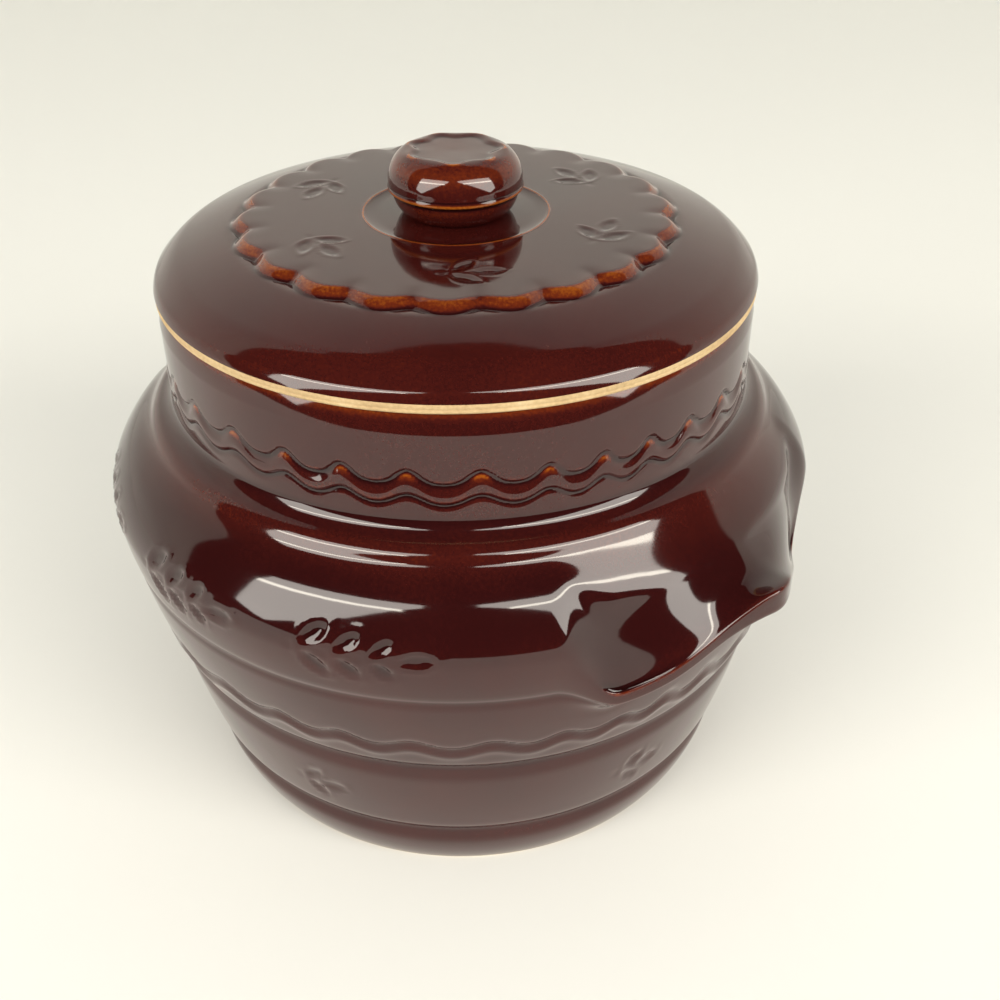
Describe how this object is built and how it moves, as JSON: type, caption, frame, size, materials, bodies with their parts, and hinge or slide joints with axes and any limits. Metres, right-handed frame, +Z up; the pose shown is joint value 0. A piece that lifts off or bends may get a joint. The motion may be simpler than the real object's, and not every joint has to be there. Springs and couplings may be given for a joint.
{
  "type": "stoneware bean pot",
  "caption": "Round-bellied stoneware pot with pinched lug handles, a ribbed wall, an upright collar and a loose domed lid with a scalloped plate and a knob.",
  "frame": {"origin": "centre of the foot's underside, in the plane that the pot stands on", "axes": "+Z up along the axis of the pot and its lid; +X towards one lug handle, -X towards the other"},
  "size_m": [0.206, 0.1862, 0.1693],
  "materials": {
    "brown_glaze": "glossy",
    "bare_clay": "matte"
  },
  "bodies": {
    "pot": {"pot_body": "brown_glaze", "lug_handle_right": "brown_glaze", "lug_handle_left": "brown_glaze"},
    "lid": {"lid": "brown_glaze", "lid_knob": "brown_glaze"}
  },
  "joints": [
    {"name": "lid_lift", "type": "slide", "parent": "pot", "child": "lid", "axis": [0, 0, 1], "range_m": [0, 0.12]}
  ]
}
